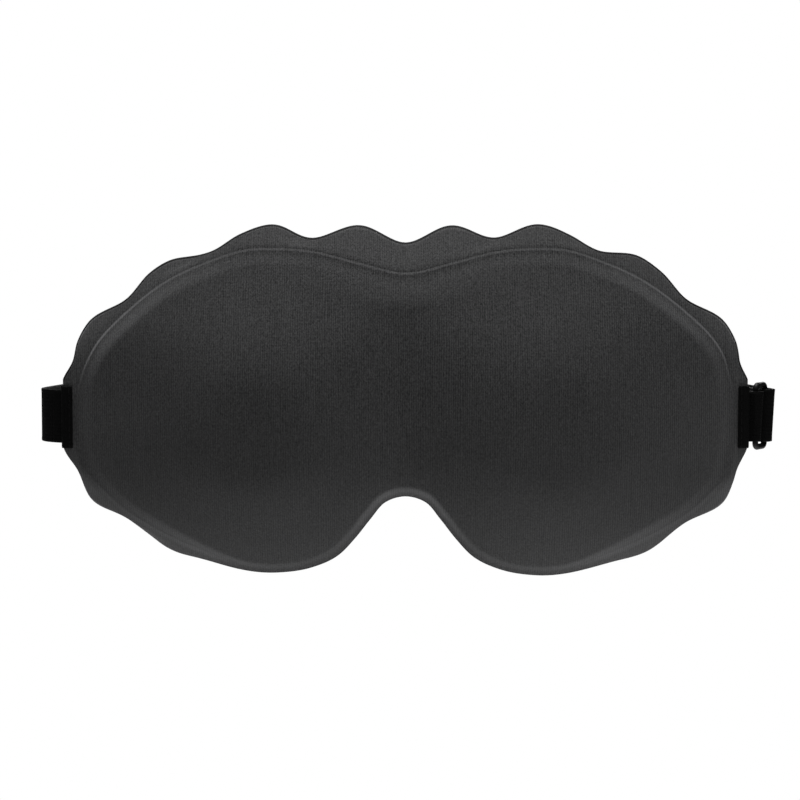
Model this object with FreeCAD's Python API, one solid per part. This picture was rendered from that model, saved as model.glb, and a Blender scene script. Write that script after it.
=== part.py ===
import FreeCAD, Part
import math
import os

# Contoured sleep eye mask: a moulded foam body between two knit skins, with an
# elastic head strap that runs from the left ear, round the back of the head,
# through a slider and a ring, to the right ear.
# Millimetres. +X is to the right of someone who looks at the mask's front,
# +Y runs from the front to the wearer's face, +Z is up. The origin is on the
# mask's middle plane, level with the strap.

V = FreeCAD.Vector

# ---- driving dimensions -------------------------------------------------

HALF_WIDTH = 116.0          # middle plane to the end of an ear
HALF_HEIGHT = 58.0          # about half of the mask's height
MIDDLE_Z = 5.0              # height at which the mask is furthest forward
SWEEP_X = 30.0              # how far the ears sweep back towards the face
SWEEP_Z = 5.0               # how far the top and bottom edges sweep back

SKIN = 0.6                  # one layer of knit
GLUE_GAP = 0.05             # bond line between a skin and the foam
FLANGE = 2.0                # pressed edge, both skins and the crushed foam
FLARE = 0.35                # slope of the flange away from the body, above and below
SHOULDER_RISE = 4.0         # step from the flange up to the padded body
SHOULDER_WIDTH = 8.0
SHOULDER_OUT = 1.0          # the step starts this far outside the body outline
PAD_RISE = 3.5              # how far the foam stands towards the face
PAD_INSET = 7.0             # the padding starts this far inside the body outline
PAD_WIDTH = 9.0

DOME_X = 49.0               # middle of each eye dome
DOME_Z = -4.0
DOME_RISE = 14.5
DOME_RADII = (62.0, 61.0)
DOME_LOWER = 0.86           # the dome's lower half is this much shorter
DOME_TIP = 0.33             # how blunt the dome's middle is
UNION = 2.0                 # how softly the two domes run into each other
BROW_DIMPLE = 1.6           # shallow hollow between the brows
DIMPLE_Z = 27.0
DIMPLE_RADIUS = 17.0
CAVITY_DEPTH = 16.0         # hollow that keeps the foam off the eyes
CAVITY_Z = -1.0
CAVITY_RADII = (43.0, 34.0)
CAVITY_POWER = 1.5

STRAP_WIDTH = 18.0
STRAP = 1.0                 # thickness of the woven elastic
STRAP_HEADING = 102.0       # direction of the strap's straight sides, from +X
STRAIGHT = 50.0             # straight side, where the slider travels
TEMPLE_RADIUS = 45.0        # bend from the side to the back of the head
TEMPLE_TURN = 48.0
ROOM = 0.3                  # gap between bodies that move past each other

EAR_END = 115.6             # where the ears are cut off under the black patches
SEWN_FROM = 103.5           # sewn strap ends reach in to here, on the face side
PATCH = 0.8                 # thickness of the black anchor patches
PATCH_FROM = 112.1
PATCH_TO = 115.6
PATCH_HEIGHT = 21.0
THREAD_R = 0.22
STITCH_LENGTH = 1.9
STITCH_PITCH = 2.4

BAR_R = 1.0                 # ring bar
RING_HEIGHT = 23.0
RING_SPAN = 7.2             # between the middles of the ring's two bars
RING_HEADING = 58.0
RING_CORNER = 1.5
FOLD_R = 2.2                # inside of the strap's fold round the ring
TAB = 1.0                   # thickness of the tab that holds the ring
TAB_WIDTH = 17.0
TAB_R = 1.35                # inside of the tab's loop round the ring

SLIDER_LENGTH = 14.0
SLIDER_BAR = 2.0
SLIDER_BAR_DEPTH = 1.4
SLIDER_FILLET = 0.45
SLIDER_AT = 38.0            # along the straight side, from the ring's outer bar

# Right half of the scalloped cut edge, from the top middle down to the nose.
EDGE = [
    (0.0, 58.2), (15.3, 63.9), (29.4, 60.3), (44.2, 64.2), (54.1, 61.1), (63.1, 55.9),
    (77.7, 53.5), (84.5, 48.7), (92.1, 40.0), (106.5, 31.2), (109.8, 25.4), (111.4, 18.7),
    (115.0, 12.3), (116.8, 0.0), (115.1, -11.2), (110.6, -17.8), (106.5, -27.5),
    (92.8, -34.0), (80.1, -43.6), (68.8, -46.3), (42.9, -49.9), (31.3, -48.0),
    (22.3, -43.8), (16.4, -37.7), (11.4, -31.3), (6.5, -25.7), (0.0, -23.8),
]

# Right half of the padded body's outline, from the top middle down to the nose.
BODY = [
    (0.0, 49.3), (15.6, 52.7), (29.2, 56.1), (41.0, 57.2), (53.0, 56.7), (64.7, 53.0),
    (78.0, 47.1), (92.1, 36.8), (104.6, 23.6), (109.8, 11.7), (111.0, -0.5),
    (107.4, -18.5), (99.5, -27.8), (84.0, -37.8), (67.0, -44.6), (42.5, -48.9),
    (31.4, -46.9), (22.8, -42.6), (17.1, -36.8), (12.0, -30.2), (6.7, -24.4), (0.0, -22.6),
]


# ---- outlines and surfaces ----------------------------------------------

def closed_outline(half):
    """A smooth closed wire in the XZ plane through a half outline and its mirror.

    The curve closes at its rightmost point, which is on the ear.
    """
    points = half + [(-x, z) for x, z in reversed(half[1:-1])]
    ear = points.index(max(points))
    points = points[ear:] + points[:ear]
    curve = Part.BSplineCurve()
    curve.interpolate(Points=[V(x, 0, z) for x, z in points], PeriodicFlag=True)
    return Part.Wire(curve.toShape())


def ease(t):
    """0 to 1, level at both ends."""
    t = min(1.0, max(0.0, t))
    return t * t * (3.0 - 2.0 * t)


def bump(x, z, centre, radii, power):
    r2 = ((x - centre[0]) / radii[0]) ** 2 + ((z - centre[1]) / radii[1]) ** 2
    return max(0.0, 1.0 - r2) ** power


def base_y(x, z):
    """The pressed sheet's sweep back to the face, before the flange flares."""
    return SWEEP_X * (x / HALF_WIDTH) ** 2 + SWEEP_Z * ((z - MIDDLE_Z) / HALF_HEIGHT) ** 2


BODY_RING = [(p.x, p.z) for p in closed_outline(BODY).discretize(Number=200)]


def depth_inside(x, z):
    """Distance inside the body outline, negative on the flange."""
    inside = False
    nearest = 1e9
    for (x1, z1), (x2, z2) in zip(BODY_RING, BODY_RING[1:] + BODY_RING[:1]):
        if (z1 > z) != (z2 > z) and x < (x2 - x1) * (z - z1) / (z2 - z1) + x1:
            inside = not inside
        dx, dz = x2 - x1, z2 - z1
        length2 = dx * dx + dz * dz or 1e-9
        t = min(1.0, max(0.0, ((x - x1) * dx + (z - z1) * dz) / length2))
        nearest = min(nearest, math.hypot(x - x1 - t * dx, z - z1 - t * dz))
    return nearest if inside else -nearest


def sheet_y(x, z, depth):
    """The pressed sheet, with its flange flared back above and below."""
    outside = max(0.0, -depth)
    upper, lower = ease((z - 14.0) / 20.0), ease((-11.0 - z) / 16.0)
    return base_y(x, z) + FLARE * (upper + lower) * outside * outside / (outside + 1.0)


def dome(x, z, side):
    """A blunt cone: its slope is nearly the same all the way to the edge."""
    height = DOME_RADII[1] * (1.0 if z > DOME_Z else DOME_LOWER)
    r4 = (((x - side * DOME_X) / DOME_RADII[0]) ** 2 + ((z - DOME_Z) / height) ** 2) ** 2
    full = (DOME_TIP ** 4 + 1) ** 0.25 - DOME_TIP
    return DOME_RISE * (1 - ((DOME_TIP ** 4 + r4) ** 0.25 - DOME_TIP) / full)


def front_y(x, z):
    """The knit's outer face."""
    depth = depth_inside(x, z)
    rise = SHOULDER_RISE * ease((depth + SHOULDER_OUT) / SHOULDER_WIDTH)
    both = math.exp(dome(x, z, -1) / UNION) + math.exp(dome(x, z, 1) / UNION) + 1.0
    rise += UNION * math.log(both / 2.0) * ease((depth + 0.6) / 6.0)
    rise -= BROW_DIMPLE * bump(x, z, (0.0, DIMPLE_Z), (DIMPLE_RADIUS, DIMPLE_RADIUS), 2)
    return sheet_y(x, z, depth) - rise


def back_y(x, z):
    """The lining's face that rests on the wearer."""
    depth = depth_inside(x, z)
    pad = PAD_RISE * ease((depth - PAD_INSET) / PAD_WIDTH)
    hollow = 0.0
    for side in (-1, 1):
        hollow += CAVITY_DEPTH * bump(x, z, (side * DOME_X, CAVITY_Z), CAVITY_RADII, CAVITY_POWER)
    return sheet_y(x, z, depth) + FLANGE + pad - hollow


def height_face(height, x_span=(-124.0, 124.0), z_span=(-58.0, 72.0), counts=(85, 45)):
    """A smooth face through y = height(x, z)."""
    rows = []
    for i in range(counts[0]):
        x = x_span[0] + (x_span[1] - x_span[0]) * i / (counts[0] - 1)
        row = []
        for k in range(counts[1]):
            z = z_span[0] + (z_span[1] - z_span[0]) * k / (counts[1] - 1)
            row.append(V(x, height(x, z), z))
        rows.append(row)
    surface = Part.BSplineSurface()
    surface.interpolate(rows)
    return surface.toShape()


def moved_back(face, distance):
    copy = face.copy()
    copy.translate(V(0, distance, 0))
    return copy


def prism(outline_face):
    """Everything in front of and behind a flat face in the XZ plane."""
    face = outline_face.copy()
    face.translate(V(0, -60, 0))
    return face.extrude(V(0, 140, 0))


def save(node, shape):
    if not shape.isValid():
        raise SystemExit(node + " is not valid")
    shape.exportStep("parts/" + node + ".step")
    print("%-20s %2d solids %9.1f mm3" % (node, len(shape.Solids), shape.Volume))


# ---- the padded mask: knit cover, foam, lining ---------------------------

def box_between(x1, x2, y1, y2, z1, z2):
    return Part.makeBox(x2 - x1, y2 - y1, z2 - z1, V(x1, y1, z1))


def mask_layers():
    outline = prism(Part.Face(closed_outline(EDGE)))
    outline = outline.common(box_between(-EAR_END, EAR_END, -70, 90, -90, 90))
    front = height_face(front_y)
    back = height_face(back_y)
    cover = front.extrude(V(0, SKIN, 0)).common(outline)
    lining = moved_back(back, -SKIN).extrude(V(0, SKIN, 0)).common(outline)
    behind_cover = moved_back(front, SKIN + GLUE_GAP).extrude(V(0, 90, 0))
    behind_foam = moved_back(back, -SKIN - GLUE_GAP).extrude(V(0, 90, 0))
    foam = behind_cover.common(outline).cut(behind_foam)
    return cover, foam, lining


# ---- ears: anchor patches, sewn strap ends, stitching ---------------------

def rounded_plate(x1, x2, height, corner):
    """A flat face in the XZ plane with rounded corners, centred on z = 0."""
    z = height / 2.0
    corners = [(x1, -z), (x2, -z), (x2, z), (x1, z)]
    wire = Part.makePolygon([V(x, 0, h) for x, h in corners + corners[:1]])
    face = Part.Face(wire)
    solid = face.extrude(V(0, 10, 0))
    edges = [e for e in solid.Edges if abs(e.Vertexes[0].Y - e.Vertexes[-1].Y) > 5]
    solid = solid.makeFillet(corner, edges)
    flat = [f for f in solid.Faces if abs(f.CenterOfMass.y) < 1e-6]
    return flat[0]


def ear_face(offset):
    """The flange's own surface at the right ear, moved back by an offset."""
    def height(x, z):
        return base_y(x, z) + offset
    return height_face(height, (96.0, 124.0), (-20.0, 20.0), (9, 9))


def right_patch():
    plate = prism(rounded_plate(PATCH_FROM, PATCH_TO, PATCH_HEIGHT, 1.0))
    return ear_face(-PATCH - 2 * GLUE_GAP).extrude(V(0, PATCH, 0)).common(plate)


def sewn_end(width, thickness):
    plate = prism(rounded_plate(SEWN_FROM, EAR_END, width, 0.6))
    return ear_face(FLANGE + 2 * GLUE_GAP).extrude(V(0, thickness, 0)).common(plate)


def stitch_row(x, offset, count):
    """One row of thread, each stitch a short round bar along Z."""
    row = []
    for i in range(count):
        z = (i - (count - 1) / 2.0) * STITCH_PITCH
        low = V(x, base_y(x, z) + offset, z - STITCH_LENGTH / 2.0)
        row.append(Part.makeCylinder(THREAD_R, STITCH_LENGTH, low, V(0, 0, 1)))
    return row


def ear_stitching(end_thickness):
    clear = THREAD_R + 3 * GLUE_GAP
    front = -PATCH - GLUE_GAP - clear
    behind = FLANGE + GLUE_GAP + end_thickness + clear
    rows = stitch_row(113.9, front - 0.25, 7)
    for x in (105.5, 109.5, 113.5):
        rows += stitch_row(x, behind + 0.1, 6)
    return Part.makeCompound(rows)


def mirrored(shape):
    return shape.mirror(V(0, 0, 0), V(1, 0, 0))


# ---- the strap: flat webbing that stands on edge --------------------------

def unit(heading):
    a = math.radians(heading)
    return V(math.cos(a), math.sin(a), 0)


def webbing(start, heading, moves, thickness, width):
    """Flat webbing along a route in the XY plane, standing on edge.

    A move is (length,) straight ahead or (radius, turn) with the turn in
    degrees, positive to the left.
    """
    half = thickness / 2.0
    left, right = [], []
    at = V(start)
    for move in moves:
        ahead = unit(heading)
        aside = unit(heading + 90)
        if len(move) == 1:
            end = at + ahead * move[0]
            left.append(Part.LineSegment(at + aside * half, end + aside * half).toShape())
            right.append(Part.LineSegment(at - aside * half, end - aside * half).toShape())
        else:
            radius, turn = move
            sense = 1 if turn > 0 else -1
            centre = at + aside * (sense * radius)
            spots = []
            for part in (0.0, 0.5, 1.0):
                spots.append(unit(heading + turn * part - sense * 90))
            for edge, shift in ((left, -sense * half), (right, sense * half)):
                arc = [centre + s * (radius + shift) for s in spots]
                edge.append(Part.Arc(*arc).toShape())
            end = centre + spots[2] * radius
            heading += turn
        at = end
    first = left[0].Vertexes[0].Point, right[0].Vertexes[0].Point
    last = left[-1].Vertexes[-1].Point, right[-1].Vertexes[-1].Point
    ends = [Part.makeLine(*first), Part.makeLine(*last)]
    wire = Part.Wire(Part.__sortEdges__(left + right + ends))
    face = Part.Face(wire)
    face.translate(V(0, 0, -width / 2.0))
    return face.extrude(V(0, 0, width)), at


TWIST_X = EAR_END + ROOM                     # the strap turns on the mask here
TWIST_Y = base_y(TWIST_X, 0) + FLANGE + GLUE_GAP + STRAP / 2.0
TAB_BAR = V(TWIST_X + TAB_R + TAB + 0.35, TWIST_Y + 0.6, 0)
RING_BAR = TAB_BAR + unit(RING_HEADING) * RING_SPAN
ALONG = unit(STRAP_HEADING)
OUTWARD = unit(STRAP_HEADING - 90)
FOLD_MIDDLE = FOLD_R + STRAP / 2.0
SIDE_START = RING_BAR + OUTWARD * FOLD_MIDDLE
EAR_HEADING = math.degrees(math.atan(2 * SWEEP_X * TWIST_X / HALF_WIDTH ** 2))


def ear_bend():
    """Radius and straight run that lead the left strap on to its side."""
    start = V(-TWIST_X, TWIST_Y, 0)
    turn = math.radians(STRAP_HEADING), math.radians(EAR_HEADING)
    dx = math.sin(turn[0]) - math.sin(turn[1])
    dy = math.cos(turn[1]) - math.cos(turn[0])
    # Solve start + R (dx, dy) = SIDE_START + t ALONG, in the mirrored half.
    gap_x = SIDE_START.x + start.x
    gap_y = SIDE_START.y - start.y
    det = dx * -ALONG.y - dy * -ALONG.x
    radius = (gap_x * -ALONG.y - gap_y * -ALONG.x) / det
    run = (dx * gap_y - dy * gap_x) / det
    return radius, run


def main_strap():
    radius, run = ear_bend()
    turn = STRAP_HEADING - EAR_HEADING
    # Half of the back: one wide arc from the temple bend to the middle.
    side_end = SIDE_START + ALONG * STRAIGHT
    after = STRAP_HEADING + TEMPLE_TURN
    a1, a2 = math.radians(STRAP_HEADING), math.radians(after)
    temple_x = side_end.x + TEMPLE_RADIUS * (math.sin(a2) - math.sin(a1))
    back_radius = temple_x / math.sin(a2)
    back_turn = 2 * (180.0 - after)
    # The route starts at the left ear, so every turn is to the right.
    moves = [
        (radius, -turn), (STRAIGHT - run,), (TEMPLE_RADIUS, -TEMPLE_TURN),
        (back_radius, -back_turn), (TEMPLE_RADIUS, -TEMPLE_TURN), (STRAIGHT,),
        (FOLD_MIDDLE, -180.0),
    ]
    start = V(-TWIST_X, TWIST_Y, 0)
    solid, end = webbing(start, 180.0 - EAR_HEADING, moves, STRAP, STRAP_WIDTH)
    length = sum(m[0] if len(m) == 1 else math.radians(abs(m[1])) * m[0] for m in moves)
    print("strap length %.0f mm, back radius %.0f mm" % (length, back_radius))
    # Trim the first end square to X, where the strap turns on the mask.
    solid = solid.cut(box_between(-TWIST_X, -90, 20, 40, -20, 20))
    return solid, end


# ---- ring, slider and the strap's returned end ----------------------------

def ring_tab():
    """The tab's loop round the ring's inner bar, with a short tail to the ear."""
    outer = Part.makeCylinder(TAB_R + TAB, TAB_WIDTH, TAB_BAR - V(0, 0, TAB_WIDTH / 2.0))
    tail = box_between(TWIST_X, TAB_BAR.x, TWIST_Y - 0.9, TWIST_Y + 0.9,
                       -TAB_WIDTH / 2.0, TAB_WIDTH / 2.0)
    hole = Part.makeCylinder(TAB_R, TAB_WIDTH + 2, TAB_BAR - V(0, 0, TAB_WIDTH / 2.0 + 1))
    return outer.fuse(tail).cut(hole).removeSplitter()


def ring():
    """A round bar bent into a rounded rectangle."""
    tall = RING_HEIGHT / 2.0 - BAR_R
    across = unit(RING_HEADING)
    a, b = TAB_BAR, RING_BAR
    up = V(0, 0, 1)
    c = RING_CORNER
    k = c * (1 - math.sqrt(0.5))
    edges = []
    for sign in (1, -1):
        top = up * (sign * tall)
        in_z = up * (-sign * c)
        edges.append(Part.makeLine(a + top + across * c, b + top - across * c))
        for corner, way in ((a, across), (b, across * -1)):
            p = corner + top
            mid = p + way * k + up * (-sign * k)
            edges.append(Part.Arc(p + in_z, mid, p + way * c).toShape())
    for bar in (a, b):
        edges.append(Part.makeLine(bar - up * (tall - c), bar + up * (tall - c)))
    path = Part.Wire(Part.__sortEdges__(edges))
    start = path.Edges[0]
    at = start.valueAt(start.FirstParameter)
    along = start.tangentAt(start.FirstParameter)
    profile = Part.Wire(Part.makeCircle(BAR_R, at, along))
    return path.makePipeShell([profile], True, False)


def on_side(shape):
    """Place a shape drawn with X outward, Y along the strap and Z up."""
    turned = shape.copy()
    turned.rotate(V(0, 0, 0), V(0, 0, 1), STRAP_HEADING - 90)
    turned.translate(SIDE_START)
    return turned


FRAME_OUT = STRAP / 2.0 + ROOM + SLIDER_BAR_DEPTH       # outer face of the slider
BAR_TOP = -(STRAP / 2.0 + ROOM + STRAP + GLUE_GAP)      # near face of its middle bar
BAR_BOTTOM = BAR_TOP - SLIDER_BAR_DEPTH


def rounded_bar(x1, x2, y1, y2, z1, z2):
    bar = box_between(x1, x2, y1, y2, z1, z2)
    return bar.makeFillet(SLIDER_FILLET, bar.Edges)


def slider():
    """Three cross bars in one frame; the middle one sits on the inner side."""
    half = SLIDER_LENGTH / 2.0
    window = STRAP_WIDTH / 2.0 + 0.35
    side = RING_HEIGHT / 2.0
    reach = window + 1.0
    pieces = []
    for z1, z2 in ((-side, -window), (window, side)):
        pieces.append(rounded_bar(BAR_BOTTOM, FRAME_OUT, -half, half, z1, z2))
    for y1 in (-half, half - SLIDER_BAR):
        pieces.append(rounded_bar(FRAME_OUT - SLIDER_BAR_DEPTH, FRAME_OUT,
                                  y1, y1 + SLIDER_BAR, -reach, reach))
    bar = SLIDER_BAR / 2.0
    pieces.append(rounded_bar(BAR_BOTTOM, BAR_TOP, -bar, bar, -reach, reach))
    body = pieces[0].multiFuse(pieces[1:])
    body.translate(V(0, SLIDER_AT, 0))
    return on_side(body)


def strap_end_loop():
    """The strap's end, wrapped round the slider's middle bar."""
    bar = SLIDER_BAR / 2.0 + GLUE_GAP
    top, bottom = BAR_TOP + GLUE_GAP, BAR_BOTTOM - GLUE_GAP
    half = STRAP_WIDTH / 2.0
    outer = box_between(bottom - STRAP, top + STRAP - GLUE_GAP, -bar - STRAP, bar + STRAP,
                        -half, half)
    outer = outer.makeFillet(0.9, [e for e in outer.Edges if e.Length > STRAP_WIDTH / 2.0])
    inner = box_between(bottom, top, -bar, bar, -half - 1, half + 1)
    loop = outer.cut(inner)
    loop.translate(V(0, SLIDER_AT, 0))
    return on_side(loop)


def strap_return(fold_end):
    """The strap's last stretch, from the ring's fold back to the slider."""
    level = BAR_BOTTOM - GLUE_GAP - STRAP / 2.0
    reach = SLIDER_AT - SLIDER_BAR / 2.0 - STRAP - 3 * GLUE_GAP
    target = SIDE_START + ALONG * reach + OUTWARD * level
    run = target - fold_end
    heading = math.degrees(math.atan2(run.y, run.x))
    start = fold_end + unit(heading) * 0.05
    solid, _ = webbing(start, heading, [(run.Length - 0.05,)], STRAP, STRAP_WIDTH)
    return solid


def bar_tack():
    """Five short threads that close the strap's end loop."""
    level = BAR_BOTTOM - GLUE_GAP - STRAP - THREAD_R - GLUE_GAP
    threads = []
    for i in range(5):
        low = V(level, SLIDER_AT, (i - 2) * 3.2 - 1.2)
        threads.append(Part.makeCylinder(THREAD_R, 2.4, low, V(0, 0, 1)))
    return on_side(Part.makeCompound(threads))


# ---- build ----------------------------------------------------------------

os.makedirs("parts", exist_ok=True)

cover_shape, foam_shape, lining_shape = mask_layers()
save("outer_cover", cover_shape)
save("foam_core", foam_shape)
save("inner_lining", lining_shape)

patch_shape = right_patch()
save("right_anchor_patch", patch_shape)
save("left_anchor_patch", mirrored(patch_shape))
save("right_tab_end", sewn_end(TAB_WIDTH, TAB))
save("left_strap_end", mirrored(sewn_end(STRAP_WIDTH, STRAP)))
save("right_stitching", ear_stitching(TAB))
save("left_stitching", mirrored(ear_stitching(STRAP)))

strap_shape, strap_fold_end = main_strap()
save("strap", strap_shape)
save("ring_tab", ring_tab())
save("ring", ring())
save("slider", slider())
save("strap_end_loop", strap_end_loop())
save("strap_return", strap_return(strap_fold_end))
save("bar_tack", bar_tack())

print("twist axis y %.2f" % TWIST_Y)
print("ring pivot %.2f %.2f" % (TAB_BAR.x, TAB_BAR.y))
print("side start %.2f %.2f, along %.4f %.4f" % (SIDE_START.x, SIDE_START.y, ALONG.x, ALONG.y))
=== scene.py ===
# A contoured sleep eye mask: moulded foam between two knit skins, with a pressed
# scalloped edge, black tape on the ears and an elastic strap with a ring and a slider.

import math

import bmesh
import bpy
import numpy as np
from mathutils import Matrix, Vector


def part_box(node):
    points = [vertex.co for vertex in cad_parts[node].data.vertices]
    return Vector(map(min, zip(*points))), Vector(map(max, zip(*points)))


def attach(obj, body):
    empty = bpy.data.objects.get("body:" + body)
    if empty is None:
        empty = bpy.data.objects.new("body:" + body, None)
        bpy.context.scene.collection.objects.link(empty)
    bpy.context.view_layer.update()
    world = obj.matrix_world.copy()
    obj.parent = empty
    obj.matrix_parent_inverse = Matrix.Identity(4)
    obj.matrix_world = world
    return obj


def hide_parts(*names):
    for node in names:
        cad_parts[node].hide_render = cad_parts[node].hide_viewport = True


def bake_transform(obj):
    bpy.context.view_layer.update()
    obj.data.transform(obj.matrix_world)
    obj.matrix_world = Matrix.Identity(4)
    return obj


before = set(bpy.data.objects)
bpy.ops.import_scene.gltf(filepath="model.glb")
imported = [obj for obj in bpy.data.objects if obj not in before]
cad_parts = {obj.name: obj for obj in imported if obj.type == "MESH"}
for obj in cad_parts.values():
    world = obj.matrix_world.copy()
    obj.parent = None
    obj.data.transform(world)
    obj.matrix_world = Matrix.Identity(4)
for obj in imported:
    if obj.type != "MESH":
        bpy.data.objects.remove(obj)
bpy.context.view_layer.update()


# ---- Camera ---------------------------------------------------------------
# A long lens a little above the strap's height, square on to the mask's front,
# aimed a touch to the left of the mask's middle.

mask_low, mask_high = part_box("outer_cover")
FRAME_WIDTH = 0.260          # what the picture takes in, at the aim point
CAMERA_AWAY = 0.800
CAMERA_UP = math.radians(4.0)
AIM_ASIDE = -0.0018
AIM_ABOVE_MIDDLE = 0.0007

aim = Vector((AIM_ASIDE, 0.0, (mask_low[2] + mask_high[2]) / 2 + AIM_ABOVE_MIDDLE))
away = Vector((0.0, -math.cos(CAMERA_UP), math.sin(CAMERA_UP)))
camera_data = bpy.data.cameras.new("camera")
camera_data.sensor_width = 36.0
camera_data.lens = camera_data.sensor_width * CAMERA_AWAY / FRAME_WIDTH
camera_data.clip_start = 0.05
camera = bpy.data.objects.new("camera", camera_data)
camera.location = aim + away * CAMERA_AWAY
camera.rotation_euler = away.to_track_quat("Z", "Y").to_euler()
bpy.context.collection.objects.link(camera)
bpy.context.scene.camera = camera


# ---- Foam core ------------------------------------------------------------
# Soft polyurethane foam, pressed with both knit skins in a heated mould: thick
# over the eyes, crushed to a thin flange at the scalloped edge, with a hollow
# behind each dome. Shapes are drawn in millimetres; materials, nodes and lights use metres.

HALF_WIDTH = 116.0
HALF_HEIGHT = 58.0
MIDDLE_Z = 5.0
SWEEP_X = 30.0               # how far the ears sweep back
SWEEP_Z = 5.0
EAR_END = 115.6
FLANGE = 2.0
KNIT = 0.6
GLUE = 0.03

# Right half of the cut edge, from the top middle to the ear, and on to the nose.
EDGE_TOP = [
    (0.0, 58.2), (15.3, 63.9), (29.4, 60.3), (44.2, 64.2), (54.1, 61.1), (63.1, 55.9),
    (77.7, 53.5), (84.5, 48.7), (92.1, 40.0), (106.5, 31.2), (109.8, 25.4),
    (111.4, 18.7), (115.0, 12.3), (116.8, 4.0),
]
EDGE_BOTTOM = [
    (0.0, -23.8), (6.5, -25.7), (11.4, -31.3), (16.4, -37.7), (22.3, -43.8),
    (31.3, -48.0), (42.9, -49.9), (68.8, -46.3), (80.1, -43.6), (92.8, -34.0),
    (106.5, -27.5), (110.6, -17.8), (115.1, -11.2), (116.8, -3.0),
]
# Right half of the padded body, from the top middle round to the nose.
BODY = [
    (0.0, 49.3), (15.6, 52.7), (29.2, 56.1), (41.0, 57.2), (53.0, 56.7), (64.7, 53.0),
    (78.0, 47.1), (92.1, 36.8), (104.6, 23.6), (109.8, 11.7), (111.0, -0.5),
    (107.4, -18.5), (99.5, -27.8), (84.0, -37.8), (67.0, -44.6), (42.5, -48.9),
    (31.4, -46.9), (22.8, -42.6), (17.1, -36.8), (12.0, -30.2), (6.7, -24.4), (0.0, -22.6),
]


def through(points, steps=12):
    """A smooth line through points, as an array, with chord-length tangents."""
    p = np.array(points, float)
    p = np.vstack([2 * p[0] - p[1], p, 2 * p[-1] - p[-2]])
    gap = np.linalg.norm(np.diff(p, axis=0), axis=1)
    line = []
    for i in range(1, len(p) - 2):
        before, ahead, after = gap[i - 1], gap[i], gap[i + 1]
        back_way = (p[i] - p[i - 1]) / before
        way = (p[i + 1] - p[i]) / ahead
        next_way = (p[i + 2] - p[i + 1]) / after
        m0 = ahead * (back_way * ahead + way * before) / (before + ahead)
        m1 = ahead * (way * after + next_way * ahead) / (ahead + after)
        t = np.linspace(0, 1, steps, endpoint=False)[:, None]
        line.append((2 * t**3 - 3 * t**2 + 1) * p[i] + (t**3 - 2 * t**2 + t) * m0
                    + (3 * t**2 - 2 * t**3) * p[i + 1] + (t**3 - t**2) * m1)
    line.append(p[-2:-1])
    return np.vstack(line)


def both_halves(half):
    """The line from the left ear to the right one through a half and its mirror."""
    line = through([(-x, z) for x, z in half[2:0:-1]] + half)
    line = line[np.argmin(np.abs(line[:, 0])):]
    line[0, 0] = 0.0
    return np.vstack([line[:0:-1] * (-1, 1), line])


def closed_ring(half):
    right = through([(-half[1][0], half[1][1])] + half + [(-half[-2][0], half[-2][1])])
    right = right[right[:, 0] >= 0]
    return np.vstack([right, right[::-1] * (-1, 1)])


edge_top = both_halves(EDGE_TOP)
edge_bottom = both_halves(EDGE_BOTTOM)
body_ring = closed_ring(BODY)
ring_top = both_halves(BODY[:11])
ring_bottom = both_halves(BODY[:10:-1])


def ease(t):
    t = np.clip(t, 0.0, 1.0)
    return t * t * (3.0 - 2.0 * t)


def depth_inside(x, z):
    """Distance inside the padded body's outline, negative on the flange."""
    px, pz = x.ravel(), z.ravel()
    nearest = np.full(px.shape, 1e9)
    inside = np.zeros(px.shape, bool)
    for (x1, z1), (x2, z2) in zip(body_ring, np.roll(body_ring, -1, axis=0)):
        dx, dz = x2 - x1, z2 - z1
        length2 = dx * dx + dz * dz
        if length2 < 1e-12:
            continue
        t = np.clip(((px - x1) * dx + (pz - z1) * dz) / length2, 0, 1)
        nearest = np.minimum(nearest, np.hypot(px - x1 - t * dx, pz - z1 - t * dz))
        if z1 != z2:
            inside ^= ((z1 > pz) != (z2 > pz)) & (px < dx * (pz - z1) / dz + x1)
    return np.where(inside, nearest, -nearest).reshape(x.shape)


def bump(x, z, centre, radii, power):
    r2 = ((x - centre[0]) / radii[0]) ** 2 + ((z - centre[1]) / radii[1]) ** 2
    return np.maximum(0.0, 1.0 - r2) ** power


FLARE = 0.42                 # slope of the flange away from the body, above and below
FLARE_NOSE = 0.5             # share of that slope below, by the nose
FLARE_CHEEK = 0.9            # and how much more there is towards the cheeks
FLARE_REACH = 2.0            # there the slope starts this far inside the body


def flange_y(x, z, depth=None):
    y = SWEEP_X * (x / HALF_WIDTH) ** 2 + SWEEP_Z * ((z - MIDDLE_Z) / HALF_HEIGHT) ** 2
    if depth is not None:
        upper, lower = ease((z - 14.0) / 20.0), ease((-11.0 - z) / 16.0)
        cheek = ease((np.abs(x) - 48.0) / 24.0)
        outside = np.maximum(0.0, FLARE_REACH * lower * cheek - depth)
        slope = FLARE * (upper + (FLARE_NOSE + FLARE_CHEEK * cheek) * lower)
        y = y + slope * outside * outside / (outside + 1.0)
    return y


WALL_RISE = 0.5              # the steep little step round the top of the body
WALL_WIDTH = 1.0
BEAD = 0.07                  # rolled crest on top of that step
BROW_RISE = 2.6              # the body slopes back to its edge between the brows
BROW_WIDTH = 28.0
ROLL_SLOPE = 0.16            # the soft roll along the sides and the lower edge
ROLL_WIDTH = 11.0
DOME_X = 49.0
DOME_Z = -4.0
DOME_RISE = 14.5
DOME_RADII = (62.0, 61.0)
DOME_LOWER = 0.82            # the lower half is this much shorter
DOME_TIP = 0.33              # how blunt the dome's middle is
UNION = 2.0                  # how softly the two domes run into each other
DIMPLE = 0.8                 # shallow hollow between the brows
DIMPLE_AT = (0.0, 27.0)
DIMPLE_RADII = (17.0, 17.0)


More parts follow.
